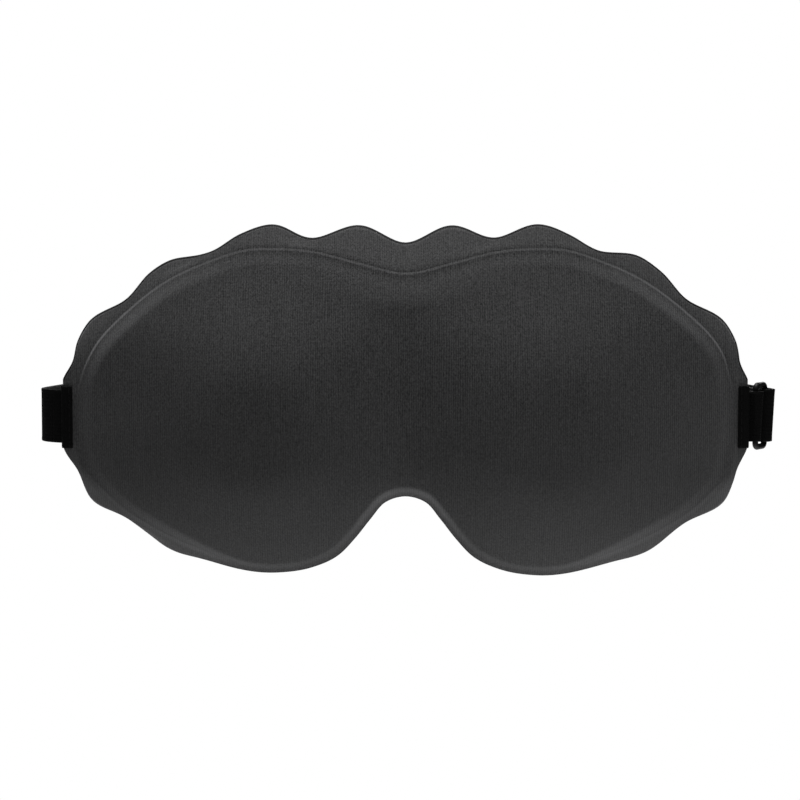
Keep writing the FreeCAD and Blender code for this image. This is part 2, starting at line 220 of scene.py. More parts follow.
def dome(x, z, side):
    """A blunt cone: its slope is nearly the same all the way to the edge."""
    height = np.where(z > DOME_Z, DOME_RADII[1], DOME_RADII[1] * DOME_LOWER)
    r = np.sqrt(((x - side * DOME_X) / DOME_RADII[0]) ** 2 + ((z - DOME_Z) / height) ** 2)
    full = (DOME_TIP ** 4 + 1) ** 0.25 - DOME_TIP
    return DOME_RISE * (1 - ((DOME_TIP ** 4 + r ** 4) ** 0.25 - DOME_TIP) / full)


ROLL_STEP = 0.1
roll_depth = np.linspace(-4.0, 12.0, 161)
roll_slope = (ROLL_SLOPE * np.clip(1 - roll_depth / ROLL_WIDTH, 0, 1)
              * ease((roll_depth + 2.4) / 3.6))
roll_height = np.concatenate([[0], np.cumsum((roll_slope[1:] + roll_slope[:-1]) * ROLL_STEP / 2)])


def front_y(x, z, puff=0.0):
    """The grey knit's outer face."""
    depth = depth_inside(x, z)
    # The pressed line is crisp over the brow and fades out round the sides.
    crisp = ease((z - 2.0) / 30.0)
    aside = ease((np.abs(x) - 52.0) / 35.0)
    wall = (WALL_RISE + 0.2 * aside) * ease(depth / WALL_WIDTH)
    wall += BEAD * ease(depth / 0.7) * (1 - ease((depth - 0.7) / 1.6))
    wall += (1.0 + 1.7 * aside) * ease((depth + 1.0) / 7.0)
    wall += BROW_RISE * np.exp(-(x / BROW_WIDTH) ** 2) * ease((depth + 1.0) / 13.0)
    roll = np.interp(depth, roll_depth, roll_height)
    left, right = dome(x, z, -1), dome(x, z, 1)
    domes = UNION * np.log((np.exp(left / UNION) + np.exp(right / UNION) + 1.0) / 2.0)
    # Over the brow the domes start gently, and below they end in a short rounded rim.
    wide = np.maximum(crisp, ease((np.abs(x) - 50.0) / 30.0))
    shoulder = ease((depth + 1.2) / (3.8 + 3.2 * wide))
    rise = crisp * wall + (1 - crisp) * roll + domes * shoulder
    rise -= DIMPLE * bump(x, z, DIMPLE_AT, DIMPLE_RADII, 2)
    return flange_y(x, z, depth) - rise - puff


PAD_RISE = 3.5
CAVITY_DEPTH = 16.0
CAVITY_X = 49.0
CAVITY_Z = -1.0
CAVITY_RADII = (43.0, 34.0)


def back_y(x, z, puff=0.0):
    """The black lining's face that rests on the wearer."""
    depth = depth_inside(x, z)
    pad = PAD_RISE * ease((depth - 7.0) / 9.0)
    hollow = 0.0
    for side in (-1, 1):
        hollow = hollow + CAVITY_DEPTH * bump(x, z, (side * CAVITY_X, CAVITY_Z), CAVITY_RADII, 1.5)
    return flange_y(x, z, depth) + FLANGE + pad - hollow + puff


def grown(line, distance, sense):
    """The cut edge moved outward."""
    along = np.gradient(line, axis=0)
    along /= np.linalg.norm(along, axis=1)[:, None]
    return line + np.stack([-along[:, 1], along[:, 0]], axis=1) * sense * distance


def level_at(line, x):
    order = np.argsort(line[:, 0])
    return np.interp(x, line[order, 0], line[order, 1])


def panel(columns, rows, grow_top=0.0, grow_bottom=0.0, ear=EAR_END):
    """x and z of a grid that fills the cut outline, finer along the body's rim."""
    fine = np.linspace(-ear, ear, 6001)
    slope = np.abs(np.gradient(level_at(edge_top, fine), fine))
    density = 1.0 + 0.6 * np.minimum(slope, 3.0)
    density += 3.0 * np.exp(-((np.abs(fine) - 110.6) / 1.3) ** 2)
    density += 0.8 * ease((np.abs(fine) - 85.0) / 12.0)
    run = np.concatenate([[0], np.cumsum((density[1:] + density[:-1]) / 2)])
    x = np.interp(np.linspace(0, run[-1], columns), run, fine)
    low = level_at(grown(edge_bottom, grow_bottom, -1), x)
    high = level_at(grown(edge_top, grow_top, 1), x)
    held = np.clip(x, -109.5, 109.5)
    rim_high = np.minimum(level_at(ring_top, held), high - 1.0)
    rim_low = np.maximum(level_at(ring_bottom, held), low + 0.5)
    # Rows crowd together where the body steps up from the flange.
    knots = np.array([low, rim_low, rim_low + 2.5, rim_low + 7.0, rim_high - 7.0,
                      rim_high - 2.4, rim_high + 0.3, high])
    knots = np.maximum.accumulate(knots + np.arange(8)[:, None] * 0.02, axis=0)
    knots = np.minimum(knots, high - np.arange(7, -1, -1)[:, None] * 0.02)
    share = np.cumsum([0.0, 0.05, 0.10, 0.09, 0.42, 0.09, 0.16, 0.09])
    v = np.linspace(0, 1, rows)
    z = np.array([np.interp(v, share, knots[:, i]) for i in range(columns)])
    return np.repeat(x[:, None], rows, axis=1), z


# Hand cutting leaves no two scallops alike: at this x, above (1) or below (-1),
# the edge is this much higher or lower, over this width.
UNEVEN = [(-74.0, 1, -1.3, 9.0), (-34.0, 1, -0.9, 6.0), (-87.0, -1, 1.3, 9.0),
          (-64.0, -1, 0.5, 8.0), (26.0, 1, -0.6, 7.0), (57.0, 1, -0.5, 7.0)]


def settle(x, z):
    """Where the cloth really lies: one side hangs a hair lower and wider."""
    lower = ease(x / 60.0) * ease((-2.0 - z) / 34.0)
    out = 1.5 * ease((x - 72.0) / 35.0) * ease((-z - 12.0) / 9.0)
    out = out + 0.9 * ease((x - 78.0) / 25.0) * ease((z - 14.0) / 8.0)
    hang = z - 1.1 * lower
    flange = ease(-depth_inside(x, z) / 4.0)
    for at, side, change, width in UNEVEN:
        near_edge = flange * (side * z > 0)
        hang = hang + change * np.exp(-((x - at) / width) ** 2) * near_edge
    return x + out, hang


def mesh_from(name, points, faces, smooth=True):
    """A mesh object at the origin from points in millimetres."""
    mesh = bpy.data.meshes.new(name)
    mesh.from_pydata((np.asarray(points) * 0.001).tolist(), [], [list(map(int, f)) for f in faces])
    mesh.validate()
    mesh.update()
    mesh.shade_smooth() if smooth else mesh.shade_flat()
    obj = bpy.data.objects.new(name, mesh)
    bpy.context.collection.objects.link(obj)
    return obj


def closed_layer(name, x, z, near, far):
    """A closed sheet between two height fields over the same grid."""
    n, m = x.shape
    lie, hang = settle(x, z)
    front = np.stack([lie, near, hang], axis=-1).reshape(-1, 3)
    back = np.stack([lie, far, hang], axis=-1).reshape(-1, 3)
    i = np.arange(n * m).reshape(n, m)
    quads = np.stack([i[:-1, :-1], i[1:, :-1], i[1:, 1:], i[:-1, 1:]], axis=-1).reshape(-1, 4)
    rim = np.concatenate([i[:, 0], i[-1, 1:], i[-2::-1, -1], i[0, -2:0:-1]])
    after = np.roll(rim, -1)
    sides = np.stack([after, rim, rim + n * m, after + n * m], axis=-1)
    return mesh_from(name, np.vstack([front, back]), np.vstack([quads, quads[:, ::-1] + n * m, sides]))


# The foam is put under pressure as cloth, with its rim held. The pads and hollows
# move towards the face by under a millimetre, and the domes' middles give way a little.
SWELL_LIMIT = 1.2            # no point moves further than this
SWELL_BLUR = 5.0
VOXEL = 0.004                # in metres
PRESSURE = 4.0
LAST_FRAME = 20
HELD_BACK = 2.0              # the copy's rim is cut this much smaller


def read_vectors(vertices, what):
    values = np.empty(len(vertices) * 3)
    vertices.foreach_get(what, values)
    return values.reshape(-1, 3)


def evaluated(obj):
    return obj.evaluated_get(bpy.context.evaluated_depsgraph_get())


def swollen():
    """Points of the foam under pressure, front then back, and how far each moves out."""
    x, z = panel(60, 40, -HELD_BACK, -HELD_BACK, 108.0)
    thick = closed_layer("swelling", x, z, front_y(x, z) + 0.5, back_y(x, z) - 0.2)
    remesh = thick.modifiers.new("remesh", "REMESH")
    remesh.mode = "VOXEL"
    remesh.voxel_size = VOXEL
    shape = bpy.data.meshes.new_from_object(evaluated(thick))
    thick.modifiers.clear()
    thick.data = shape
    rest = read_vectors(shape.vertices, "co") * 1000
    facing = read_vectors(shape.vertices, "normal")
    held = thick.vertex_groups.new(name="held")
    hold = 1 - ease((depth_inside(rest[:, 0], rest[:, 2]) - 2.0) / 8.0)
    for i, weight in enumerate(hold):
        held.add([i], float(weight), "REPLACE")
    cloth = thick.modifiers.new("cloth", "CLOTH")
    cloth.settings.use_pressure = True
    cloth.settings.uniform_pressure_force = PRESSURE
    cloth.settings.effector_weights.gravity = 0.0
    cloth.settings.vertex_group_mass = "held"
    cloth.settings.quality = 5
    cloth.collision_settings.use_collision = False
    cloth.collision_settings.use_self_collision = False
    scene = bpy.context.scene
    for step in range(1, LAST_FRAME + 1):
        scene.frame_set(step)
        moved = read_vectors(evaluated(thick).data.vertices, "co") * 1000
    scene.frame_set(1)
    push = (moved - rest)[:, 1]
    push = push * SWELL_LIMIT / (np.abs(push) + SWELL_LIMIT)
    bpy.data.objects.remove(thick)
    front = facing[:, 1] < -0.2
    back = facing[:, 1] > 0.2
    return rest[front], -push[front], rest[back], push[back]


swell = swollen()


def puff(x, z, side):
    """How far the foam under pressure moves a skin out at each point of a grid."""
    if swell is None:
        return np.zeros(x.shape)
    at, push = swell[:2] if side == "front" else swell[2:]
    px, pz = x.ravel(), z.ravel()
    out = np.zeros(px.shape)
    for part in np.array_split(np.arange(px.size), 40):
        away2 = (px[part, None] - at[None, :, 0]) ** 2 + (pz[part, None] - at[None, :, 2]) ** 2
        weight = np.exp(-away2 / (2 * SWELL_BLUR ** 2)) + 1e-9
        out[part] = (weight * push).sum(axis=1) / weight.sum(axis=1)
    depth = depth_inside(px, pz)
    return (out * ease((depth - 1.5) / 9.0)).reshape(x.shape)


def math_node(tree, operation, a, b=None, c=None, clamp=False):
    node = tree.nodes.new("ShaderNodeMath")
    node.operation = operation
    node.use_clamp = clamp
    for socket, value in zip(node.inputs, (a, b, c)):
        if value is None:
            continue
        if hasattr(value, "is_output"):
            tree.links.new(value, socket)
        else:
            socket.default_value = value
    return node.outputs[0]


def noise(tree, vector, scale, detail=2.0, roughness=0.5):
    node = tree.nodes.new("ShaderNodeTexNoise")
    node.inputs["Scale"].default_value = scale
    node.inputs["Detail"].default_value = detail
    node.inputs["Roughness"].default_value = roughness
    tree.links.new(vector, node.inputs["Vector"])
    return node.outputs["Fac"]


def stretched(tree, vector, scale):
    node = tree.nodes.new("ShaderNodeMapping")
    node.inputs["Scale"].default_value = scale
    tree.links.new(vector, node.inputs["Vector"])
    return node.outputs[0]


def two_tone(tree, factor, dark, light):
    node = tree.nodes.new("ShaderNodeMix")
    node.data_type = "RGBA"
    node.inputs["A"].default_value = (*dark, 1)
    node.inputs["B"].default_value = (*light, 1)
    tree.links.new(factor, node.inputs["Factor"])
    return node.outputs["Result"]


def relief(tree, shader, height, strength, distance):
    node = tree.nodes.new("ShaderNodeBump")
    node.inputs["Strength"].default_value = strength
    node.inputs["Distance"].default_value = distance
    tree.links.new(height, node.inputs["Height"])
    tree.links.new(node.outputs[0], shader.inputs["Normal"])


def new_material(name):
    material = bpy.data.materials.new(name)
    material.use_nodes = True
    tree = material.node_tree
    return material, tree, tree.nodes["Principled BSDF"]


# Open-cell foam: tiny cells of mixed size, seen only along the cut edge.
foam_material, tree, shader = new_material("black cut foam")
place = tree.nodes.new("ShaderNodeTexCoord").outputs["Object"]
cells = tree.nodes.new("ShaderNodeTexVoronoi")
cells.inputs["Scale"].default_value = 2600.0
tree.links.new(place, cells.inputs["Vector"])
patchy = noise(tree, place, 900.0)
mottle = math_node(tree, "MULTIPLY_ADD", patchy, 0.5, math_node(tree, "MULTIPLY", cells.outputs[0], 0.6))
speckled = two_tone(tree, mottle, (0.002, 0.002, 0.002), (0.007, 0.007, 0.007))
tree.links.new(speckled, shader.inputs["Base Color"])
relief(tree, shader, cells.outputs[0], 0.8, 0.0002)
tree.links.new(math_node(tree, "MULTIPLY_ADD", patchy, 0.1, 0.88), shader.inputs["Roughness"])
shader.inputs["Specular IOR Level"].default_value = 0.1

x, z = panel(221, 95, -0.12, -0.12, EAR_END - 0.1)
foam = closed_layer("foam_body", x, z, front_y(x, z, puff(x, z, "front")) + KNIT + GLUE,
                    back_y(x, z, puff(x, z, "back")) - KNIT - GLUE)
foam.data.materials.append(foam_material)
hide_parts("foam_core")
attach(foam, "mask")


# ---- Outer cover ----------------------------------------------------------
# One layer of charcoal warp knit, laminated over the front and pressed with the
# foam, so it follows the domes without a crease. Its wales run straight up.

WALE = 0.00074               # from one wale to the next, in metres
COURSE = 0.00050             # from one row of stitches to the next
# Painted light: the knit's contrast is made weaker towards the bottom, where the overhead light no
# longer rakes across the relief.
RIB_SHADE_FADE = 0.48              # share of the rib that is lost at the bottom of the mask


def open_group(name, inputs, outputs):
    """An empty shader group with a Vector input, number inputs and number outputs."""
    tree = bpy.data.node_groups.new(name, "ShaderNodeTree")
    tree.interface.new_socket("Vector", in_out="INPUT", socket_type="NodeSocketVector")
    for label, value in inputs:
        socket = tree.interface.new_socket(label, in_out="INPUT", socket_type="NodeSocketFloat")
        socket.default_value = value
    for label in outputs:
        tree.interface.new_socket(label, in_out="OUTPUT", socket_type="NodeSocketFloat")
    return tree, tree.nodes.new("NodeGroupInput"), tree.nodes.new("NodeGroupOutput")


def placed_group(tree, group, values):
    """A group's node in a material, with that material's own values."""
    node = tree.nodes.new("ShaderNodeGroup")
    node.node_tree = group
    for label, value in values.items():
        node.inputs[label].default_value = value
    return node


def build_knit_group():
    """Wales, the upright ribs of a fine warp knit, and the stitches across them."""
    tree, enter, leave = open_group(
        "fine knit", [("Wale", WALE), ("Course", COURSE), ("Rib", 0.2), ("Grain", 1.0), ("Fade", 0.5)],
        ["Shade", "Height", "Fuzz"])
    at = enter.outputs["Vector"]
    split = tree.nodes.new("ShaderNodeSeparateXYZ")
    tree.links.new(at, split.inputs[0])
    # The wales wander a little, as knit does once it is stretched over a mould.
    wander = math_node(tree, "SUBTRACT", noise(tree, stretched(tree, at, (1.0, 0.3, 0.12)), 260.0), 0.5)
    wandered = math_node(tree, "MULTIPLY_ADD", wander, 0.0011, split.outputs["X"])
    phase = math_node(tree, "DIVIDE", wandered, enter.outputs["Wale"])
    wale = math_node(tree, "SINE", math_node(tree, "MULTIPLY", phase, math.tau))
    # Each wale is a row of small V stitches.
    lean = math_node(tree, "MULTIPLY", math_node(tree, "ABSOLUTE", wale), 1.1)
    row = math_node(tree, "DIVIDE", split.outputs["Z"], enter.outputs["Course"])
    course = math_node(tree, "SINE", math_node(tree, "MULTIPLY_ADD", row, math.tau, lean))
    # The ribs come and go in patches. Their contrast, and the grain's, is painted strongest near the top
    # edge and weaker below, as the overhead light shows the relief.
    patch = noise(tree, stretched(tree, at, (1.0, 1.0, 0.35)), 70.0)
    high = tree.nodes.new("ShaderNodeMapRange")
    high.interpolation_type = "SMOOTHSTEP"
    high.inputs["From Min"].default_value = -0.030
    high.inputs["From Max"].default_value = 0.035
    tree.links.new(split.outputs["Z"], high.inputs["Value"])
    clear = math_node(tree, "MULTIPLY_ADD", high.outputs[0], enter.outputs["Fade"],
                      math_node(tree, "SUBTRACT", 1.0, enter.outputs["Fade"]))
    strength = math_node(tree, "MULTIPLY", math_node(tree, "MULTIPLY_ADD", patch, 1.6, 0.2), clear)
    rib = math_node(tree, "MULTIPLY", strength, enter.outputs["Rib"])
    streak = math_node(tree, "SUBTRACT",
                       noise(tree, stretched(tree, at, (1.0, 0.0, 0.05)), 900.0, 2.0, 0.6), 0.5)
    speckle = noise(tree, stretched(tree, at, (1.0, 1.0, 0.62)), 2100.0, 2.0, 0.75)
    fuzz = math_node(tree, "SUBTRACT", speckle, 0.5)
    grain = math_node(tree, "MULTIPLY", math_node(tree, "MULTIPLY", fuzz, clear), enter.outputs["Grain"])
    shade = math_node(tree, "MULTIPLY_ADD", wale, rib, 0.5)
    shade = math_node(tree, "MULTIPLY_ADD", math_node(tree, "MULTIPLY", course, rib), 0.25, shade)
    shade = math_node(tree, "MULTIPLY_ADD", math_node(tree, "MULTIPLY", streak, rib), 2.0, shade)
    shade = math_node(tree, "ADD", grain, shade)
    height = math_node(tree, "MULTIPLY_ADD", wale, 0.35, 0.5)
    height = math_node(tree, "MULTIPLY_ADD", course, 0.22, height)
    height = math_node(tree, "MULTIPLY_ADD", fuzz, 1.0, height)
    tree.links.new(shade, leave.inputs["Shade"])
    tree.links.new(height, leave.inputs["Height"])
    tree.links.new(fuzz, leave.inputs["Fuzz"])
    return tree


knit_group = build_knit_group()


def knit_material(name, dark, light, rib, grain, depth, sheen):
    """Brushed polyester knit: rough, with a soft bloom at glancing angles."""
    material, tree, shader = new_material(name)
    knit = placed_group(tree, knit_group, {"Rib": rib, "Grain": grain, "Fade": RIB_SHADE_FADE})
    tree.links.new(tree.nodes.new("ShaderNodeTexCoord").outputs["Object"], knit.inputs["Vector"])
    tree.links.new(two_tone(tree, knit.outputs["Shade"], dark, light), shader.inputs["Base Color"])
    relief(tree, shader, knit.outputs["Height"], depth, 0.00006)
    rough = math_node(tree, "MULTIPLY_ADD", knit.outputs["Fuzz"], 0.12, 0.9, clamp=True)
    tree.links.new(rough, shader.inputs["Roughness"])
    shader.inputs["Specular IOR Level"].default_value = 0.15
    shader.inputs["Sheen Weight"].default_value = sheen
    shader.inputs["Sheen Roughness"].default_value = 0.35
    shader.inputs["Sheen Tint"].default_value = (0.8, 0.8, 0.82, 1)
    return material


grey_knit = knit_material("charcoal knit", (0.006, 0.006, 0.0062), (0.044, 0.044, 0.0445),
                          0.16, 2.4, 0.6, 0.5)

# Painted highlight: the base colour is made paler along the flange, fully below and at 0.6 of that
# above, standing in for the sheen the lights put there.
PAINTED_FLANGE_HIGHLIGHT = (0.0115, 0.0115, 0.0115)
tree = grey_knit.node_tree
shader = tree.nodes["Principled BSDF"]
painted_highlight_attr = tree.nodes.new("ShaderNodeAttribute")
painted_highlight_attr.attribute_name = "painted_edge_light_and_shade"
painted_highlight_mix = tree.nodes.new("ShaderNodeMix")
painted_highlight_mix.data_type = "RGBA"
painted_highlight_mix.blend_type = "ADD"
painted_highlight_mix.inputs["B"].default_value = (*PAINTED_FLANGE_HIGHLIGHT, 1)
tree.links.new(shader.inputs["Base Color"].links[0].from_socket, painted_highlight_mix.inputs["A"])
tree.links.new(painted_highlight_attr.outputs["Fac"], painted_highlight_mix.inputs["Factor"])
tree.links.new(painted_highlight_mix.outputs["Result"], shader.inputs["Base Color"])

x, z = panel(321, 151)
near = front_y(x, z, puff(x, z, "front"))
cover = closed_layer("cover_knit", x, z, near, near + KNIT)
# Weight of the painted flange highlight at each point of the cover.
painted_highlight_weight = (ease(-depth_inside(x, z) / 1.6) * np.where(z > 0, 0.6, 1.0)).ravel()
mark = cover.data.attributes.new("painted_edge_light_and_shade", "FLOAT", "POINT")
mark.data.foreach_set("value", np.concatenate([painted_highlight_weight, painted_highlight_weight]).astype(np.float32))
cover.data.materials.append(grey_knit)
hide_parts("outer_cover")
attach(cover, "mask")


# ---- Inner lining ---------------------------------------------------------
# Black knit on the face side, pressed into a hollow over each eye. It is cut a
# hair larger than the front along the top, so it shows there as a dark outline.

black_knit = knit_material("black lining knit", (0.003, 0.003, 0.003), (0.017, 0.017, 0.0175),
                           0.16, 1.2, 0.6, 0.12)
# The hot press leaves the cut edge itself melted and darker.
# Painted shade: faces turned sideways, the cut edge, are made almost black, so the rim that the overhead
# light catches still reads as a dark outline.
tree = black_knit.node_tree
shader = tree.nodes["Principled BSDF"]
facing = tree.nodes.new("ShaderNodeSeparateXYZ")
tree.links.new(tree.nodes.new("ShaderNodeNewGeometry").outputs["Normal"], facing.inputs[0])
turned = math_node(tree, "ABSOLUTE", facing.outputs["Y"])
flat = math_node(tree, "MULTIPLY_ADD", turned, 3.0, -1.2, clamp=True)
# Mix between the painted edge shade and the knit's own colour.
painted_edge_light_and_shade = tree.nodes.new("ShaderNodeMix")
painted_edge_light_and_shade.data_type = "RGBA"
painted_edge_light_and_shade.inputs["A"].default_value = (0.0012, 0.0012, 0.0012, 1)
tree.links.new(shader.inputs["Base Color"].links[0].from_socket, painted_edge_light_and_shade.inputs["B"])
tree.links.new(flat, painted_edge_light_and_shade.inputs["Factor"])
tree.links.new(painted_edge_light_and_shade.outputs["Result"], shader.inputs["Base Color"])

x, z = panel(281, 125, 0.7, 0.0, EAR_END)
far = back_y(x, z, puff(x, z, "back"))
lining = closed_layer("lining_knit", x, z, far - KNIT, far)
lining.data.materials.append(black_knit)
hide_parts("inner_lining")
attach(lining, "mask")


# ---- Ear tapes ------------------------------------------------------------
# Black woven tape folded over the cut end of each ear, where the strap is sewn
# on. A little taller than the strap, and stitched down along its inner edge.

TAPE_FROM = 112.1
TAPE_END = 116.0
TAPE_HEIGHT = 21.0
END_THICK = 0.32


def build_weave_group():
    """Woven elastic: long warp ridges, crossed by short picks that part them."""
    tree, enter, leave = open_group("woven elastic", [("Ridge", 0.0011), ("Pick", 0.0007)],
                                    ["Shade", "Height", "Fuzz"])
    at = enter.outputs["Vector"]
    split = tree.nodes.new("ShaderNodeSeparateXYZ")
    tree.links.new(at, split.inputs[0])
    along = math_node(tree, "DIVIDE", split.outputs["X"], enter.outputs["Pick"])
    across = math_node(tree, "DIVIDE", split.outputs["Y"], enter.outputs["Ridge"])
    swing = math_node(tree, "SINE", math_node(tree, "MULTIPLY", across, math.pi))
    ridge = math_node(tree, "ABSOLUTE", swing)
    # Every second ridge is half a pick out of step, which gives the chevrons.
    odd = math_node(tree, "MODULO", math_node(tree, "FLOOR", across), 2.0)
    step = math_node(tree, "MULTIPLY_ADD", odd, 0.5, along)
    pick = math_node(tree, "SINE", math_node(tree, "MULTIPLY", step, math.tau))
    fuzz = math_node(tree, "SUBTRACT", noise(tree, at, 2600.0, 2.0, 0.7), 0.5)
    wear = noise(tree, at, 120.0)
    shade = math_node(tree, "MULTIPLY_ADD", ridge, 0.5, 0.1)
    shade = math_node(tree, "MULTIPLY_ADD", pick, 0.12, shade)
    shade = math_node(tree, "MULTIPLY_ADD", fuzz, 0.6, shade)
    shade = math_node(tree, "MULTIPLY_ADD", wear, 0.3, shade)
    height = math_node(tree, "MULTIPLY_ADD", ridge, 0.7, math_node(tree, "MULTIPLY", pick, 0.25))
    tree.links.new(shade, leave.inputs["Shade"])
    tree.links.new(height, leave.inputs["Height"])
    tree.links.new(fuzz, leave.inputs["Fuzz"])
    return tree


weave_group = build_weave_group()


def woven_material(name, ridge, pick, dark, light):
    """Black woven narrow fabric, its pattern laid along the piece's own UV map."""
    material, tree, shader = new_material(name)
    weave = placed_group(tree, weave_group, {"Ridge": ridge, "Pick": pick})
    lie = tree.nodes.new("ShaderNodeUVMap")
    lie.uv_map = "webbing"
    tree.links.new(lie.outputs[0], weave.inputs["Vector"])
    tree.links.new(two_tone(tree, weave.outputs["Shade"], dark, light), shader.inputs["Base Color"])
    relief(tree, shader, weave.outputs["Height"], 0.7, 0.00016)
    rough = math_node(tree, "MULTIPLY_ADD", weave.outputs["Fuzz"], 0.2, 0.72, clamp=True)
    tree.links.new(rough, shader.inputs["Roughness"])
    shader.inputs["Specular IOR Level"].default_value = 0.04
    return material


tape_black = woven_material("black woven tape", 0.0009, 0.0006, (0.0004, 0.0004, 0.0004),
                            (0.0022, 0.0022, 0.0022))
elastic_black = woven_material("black woven elastic", 0.00125, 0.0008, (0.0004, 0.0004, 0.0004),
                               (0.0024, 0.0024, 0.0024))


def swept(name, rings, lengths, girths):
    """A closed solid through rings of points, with a UV map in metres."""
    count, size = len(rings), len(rings[0])
    i = np.arange(count * size).reshape(count, size)
    near, far = i[:-1], i[1:]
    quads = np.stack([near, np.roll(near, -1, 1), np.roll(far, -1, 1), far], axis=-1).reshape(-1, 4)
    faces = [tuple(q) for q in quads] + [tuple(i[0][::-1]), tuple(i[-1])]
    obj = mesh_from(name, np.asarray(rings).reshape(-1, 3), faces)
    uv = obj.data.uv_layers.new(name="webbing")
    for face in obj.data.polygons:
        for corner in face.loop_indices:
            at = obj.data.loops[corner].vertex_index
            uv.data[corner].uv = (lengths[at // size] * 0.001, girths[at % size] * 0.001)
    work = bmesh.new()
    work.from_mesh(obj.data)
    bmesh.ops.recalc_face_normals(work, faces=work.faces)
    work.to_mesh(obj.data)
    work.free()
    return obj


def ear_tape(name, side):
    half = TAPE_HEIGHT / 2
    levels = np.concatenate([[-half, -half + 0.15], np.linspace(-half + 0.5, half - 0.5, 27),
                             [half - 0.15, half]])
    rings = []
    for z in levels:
        tuck = 0.3 * (1 - math.sqrt(max(0.0, 1 - max(0.0, (abs(z) - half + 0.5) / 0.5) ** 2)))
        outline = [
            (TAPE_FROM + tuck, -0.10), (TAPE_FROM - 0.12 + tuck, -0.45),
            (TAPE_FROM + 0.05 + tuck, -0.80 + tuck), (TAPE_FROM + 0.5, -0.92 + tuck),
            (113.2, -0.93 + tuck), (114.3, -0.93 + tuck), (115.2, -0.92 + tuck),
            (TAPE_END - 0.25, -0.78 + tuck), (TAPE_END - tuck, -0.35), (TAPE_END - tuck, 0.6),
            (TAPE_END - tuck, 1.6), (TAPE_END - 0.15, 1.85), (TAPE_END - END_THICK, 1.75),
            (TAPE_END - END_THICK, 0.6), (TAPE_END - END_THICK, -0.10), (114.3, -0.08), (113.2, -0.08),
        ]
        rings.append([(side * a, flange_y(a, z) + b, z) for a, b in outline])
    tape = swept(name, rings, levels, np.arange(len(rings[0]), dtype=float))
    tape.data.materials.append(tape_black)
    return tape


left_tape = ear_tape("left_ear_tape", -1)
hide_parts("left_anchor_patch")
right_tape = ear_tape("right_ear_tape", 1)
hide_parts("right_anchor_patch")
for tape in (left_tape, right_tape):
    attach(tape, "mask")


# ---- Head strap -----------------------------------------------------------
# One length of black woven elastic, 18 mm wide. It is sewn behind the left ear,
# goes round the back of the head and folds back round the ring on the right.

STRAP_WIDTH = 18.0
STRAP = 1.0
TWIST_X = 115.9              # the strap turns on the mask here
BEHIND_EAR = FLANGE + 0.05 + STRAP / 2
EAR_HEADING = 27.33
EAR_BEND = 14.229            # radius of the turn from the ear on to the side
EAR_RUN = 8.518
SIDE_HEADING = 102.0
STRAIGHT = 50.0
TEMPLE_BEND = 45.0
TEMPLE_TURN = 48.0
FOLD_BEND = 2.7
SIDE = np.array([125.056, 39.807])       # where the straight side starts
SEWN_FROM = 103.5
BULGE = 0.7                  # the left end bows outward a little
LEAN = 0.05                  # and the right fold leans outward at its top


def heading(degrees):
    return np.array([math.cos(math.radians(degrees)), math.sin(math.radians(degrees))])


def travelled(start, way, moves, step=2.0):
    """Points along runs (length,) and turns (radius, degrees), a step apart."""
    at, line = np.array(start, float), [np.array(start, float)]
    for move in moves:
        if len(move) == 1:
            count = max(1, round(move[0] / step))
            for i in range(count):
                line.append(at + heading(way) * move[0] * (i + 1) / count)
            at = line[-1]
        else:
            radius, turn = move
            sense = math.copysign(1, turn)
            centre = at + heading(way + 90 * sense) * radius
            count = max(8, round(abs(math.radians(turn)) * radius / step))
            for i in range(count):
                line.append(centre - heading(way + turn * (i + 1) / count + 90 * sense) * radius)
            at, way = line[-1], way + turn
    return np.array(line), way


def drape(points, on_ear):
    """Small sags of the real strap: it lies on the ear, bows out and leans."""
    x, y, z = points[:, 0], points[:, 1], points[:, 2]
    near_ear = 1 - ease((np.abs(x) - TWIST_X) / 4.0) if on_ear else 0.0
    y = y + near_ear * (flange_y(x, z) - flange_y(x, 0.0))
    left = (x < -110) * ease((y - 33.5) / 5.0) * (1 - ease((y - 48.0) / 25.0))
    right = (x > 119) * (1 - ease((y - 42.0) / 9.0))
    return np.stack([x - BULGE * left + LEAN * z * right, y, z], axis=1)


def distances(line):
    """How far along a line each of its points is."""
    return np.concatenate([[0], np.cumsum(np.linalg.norm(np.diff(line, axis=0), axis=1))])


def webbing(name, line, width, thick, material, on_ear=False):
    """Flat webbing that stands on edge along a line, with full selvedges."""
    line = np.asarray(line, float)
    way = np.gradient(line, axis=0)
    way /= np.linalg.norm(way, axis=1)[:, None]
    aside = np.stack([-way[:, 1], way[:, 0]], axis=1)
    half, t = width / 2, thick / 2
    flat = np.linspace(-half + 0.35, half - 0.35, 15)
    thin = 1 - 0.14 * ease((half - 0.9 - np.abs(flat)) / 0.8)
    section = [(t * k, z) for z, k in zip(flat, thin)]
    section += [(t * 0.8, half - 0.1), (0.0, half), (-t * 0.8, half - 0.1)]
    section += [(-t * k, z) for z, k in zip(flat[::-1], thin[::-1])]
    section += [(-t * 0.8, -half + 0.1), (0.0, -half), (t * 0.8, -half + 0.1)]
    rings = []
    for point, side in zip(line, aside):
        ring = [(point[0] + side[0] * n, point[1] + side[1] * n, z) for n, z in section]
        rings.append(drape(np.array(ring), on_ear))
    girths = [z for n, z in section]
    strap = swept(name, rings, distances(line), girths)
    strap.data.materials.append(material)
    return strap


def sewn_line(layer=0.0, outer=TWIST_X, inner=SEWN_FROM):
    """The line of a sewn end behind the right ear, from its inner end outward."""
    x = np.linspace(inner, outer, 9)
    return np.stack([x, flange_y(x, 0.0) + BEHIND_EAR + layer], axis=1)


